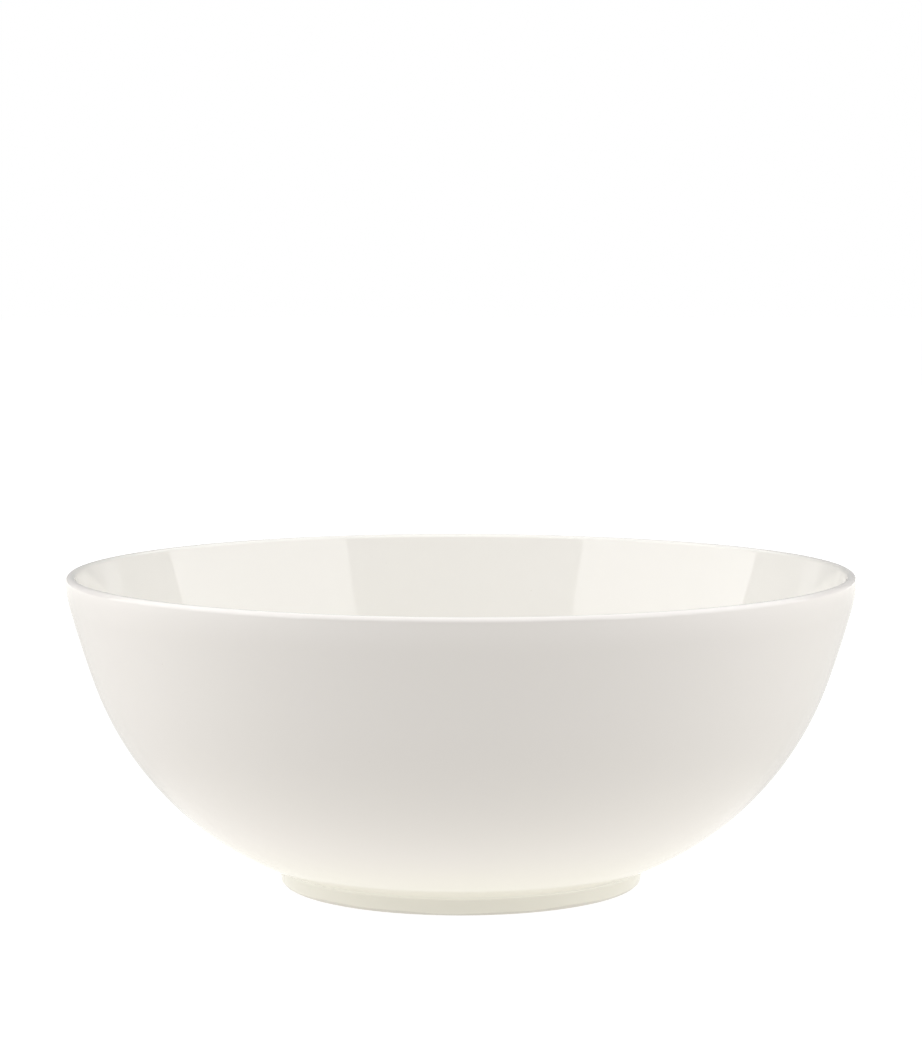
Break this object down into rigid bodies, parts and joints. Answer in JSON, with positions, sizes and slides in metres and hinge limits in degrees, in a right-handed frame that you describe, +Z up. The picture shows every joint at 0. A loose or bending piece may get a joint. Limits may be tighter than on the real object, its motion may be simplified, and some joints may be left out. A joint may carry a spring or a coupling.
{
  "type": "porcelain serving bowl",
  "caption": "Deep round serving bowl in glazed white porcelain, with a rounded lip and a low unglazed foot ring.",
  "frame": {"origin": "centre of the foot ring's underside, on the surface that the bowl stands on", "axes": "+Z up the bowl's axis of revolution; +X and +Y are any two radii at right angles, because the bowl is round"},
  "size_m": [0.24, 0.24, 0.0956],
  "materials": {
    "porcelain_clay": "satin",
    "bare_foot": "matte",
    "inner_glaze": "gloss",
    "outer_glaze": "gloss"
  },
  "bodies": {
    "root": {"bowl_body": "porcelain_clay", "foot_ring": "bare_foot", "joining_slip": "porcelain_clay", "inner_glaze": "inner_glaze", "outer_glaze": "outer_glaze", "foot_well_glaze": "outer_glaze"}
  },
  "joints": []
}
